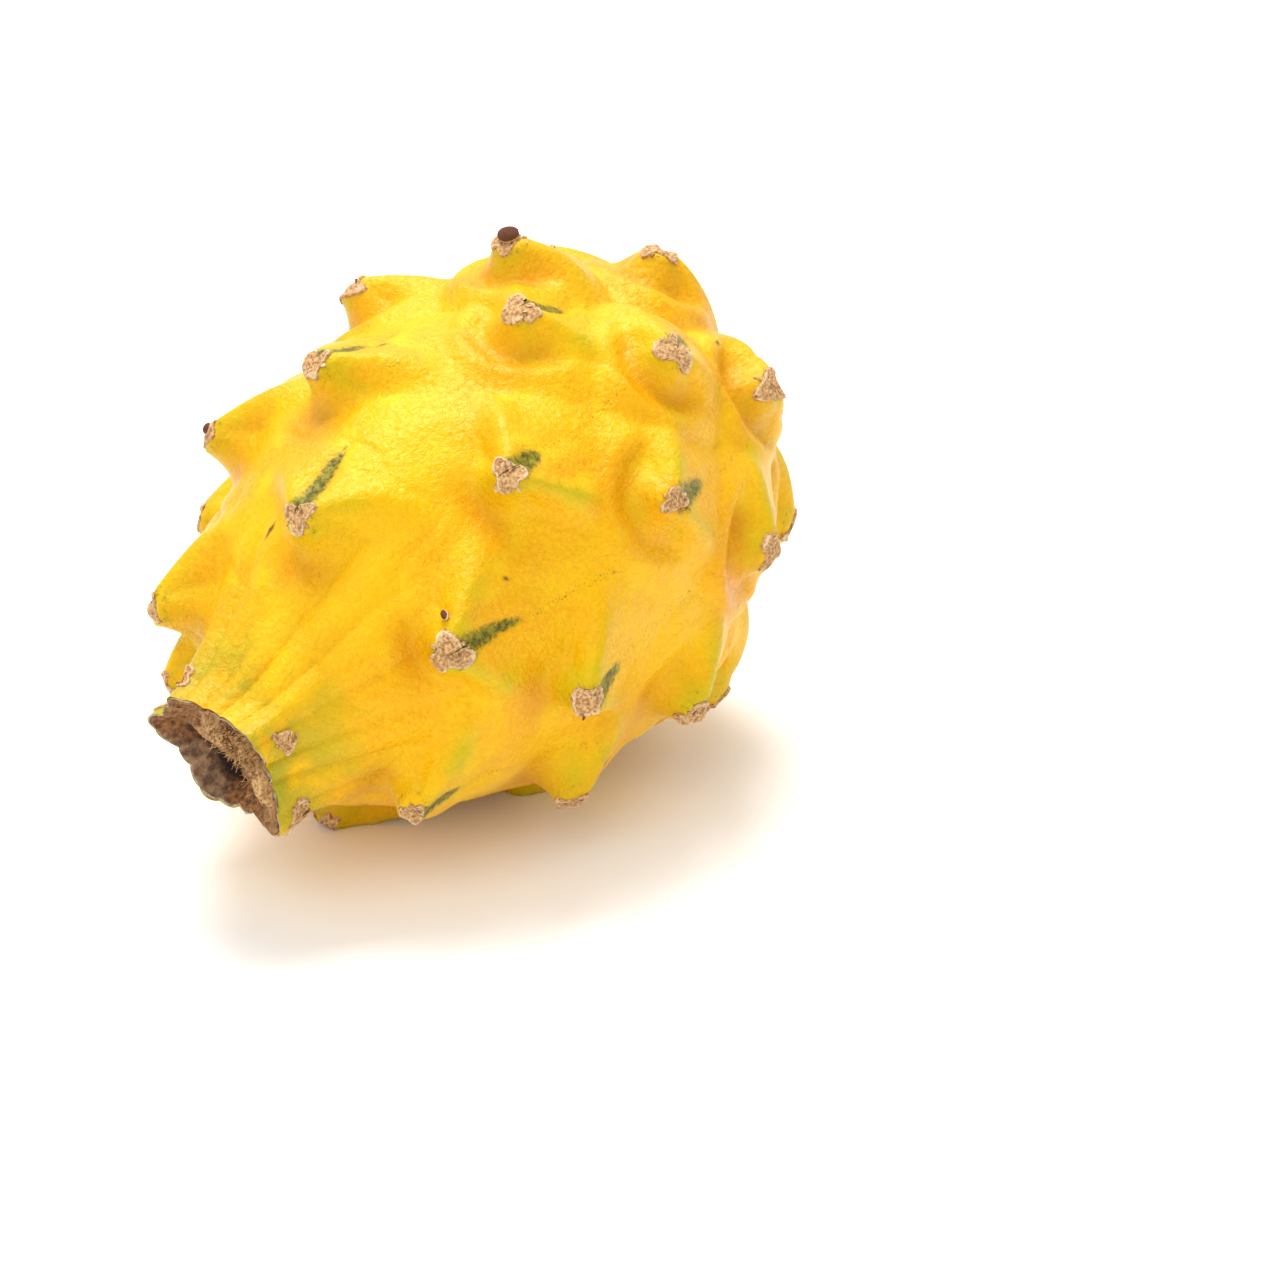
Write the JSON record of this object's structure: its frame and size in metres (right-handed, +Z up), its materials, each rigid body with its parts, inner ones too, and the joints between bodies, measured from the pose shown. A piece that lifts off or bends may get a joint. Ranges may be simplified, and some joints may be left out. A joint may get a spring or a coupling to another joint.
{
  "type": "yellow dragon fruit",
  "caption": "Whole yellow dragon fruit with blunt leaning scales, dried scale tips and a hollow flower scar, lying on its side.",
  "frame": {"origin": "middle of the outer box's underside, on the surface that the fruit rests on", "axes": "+X towards the stem end along the fruit's length, -X towards the flower scar, +Z up"},
  "size_m": [0.109, 0.0774, 0.0812],
  "materials": {
    "yellow_skin": "satin waxy fruit skin with a fine grain",
    "dried_tip": "matte dry fibrous tissue",
    "flower_scar": "matte dry brown flower tissue"
  },
  "bodies": {
    "root": {"dragon_fruit": "yellow_skin"}
  },
  "joints": []
}
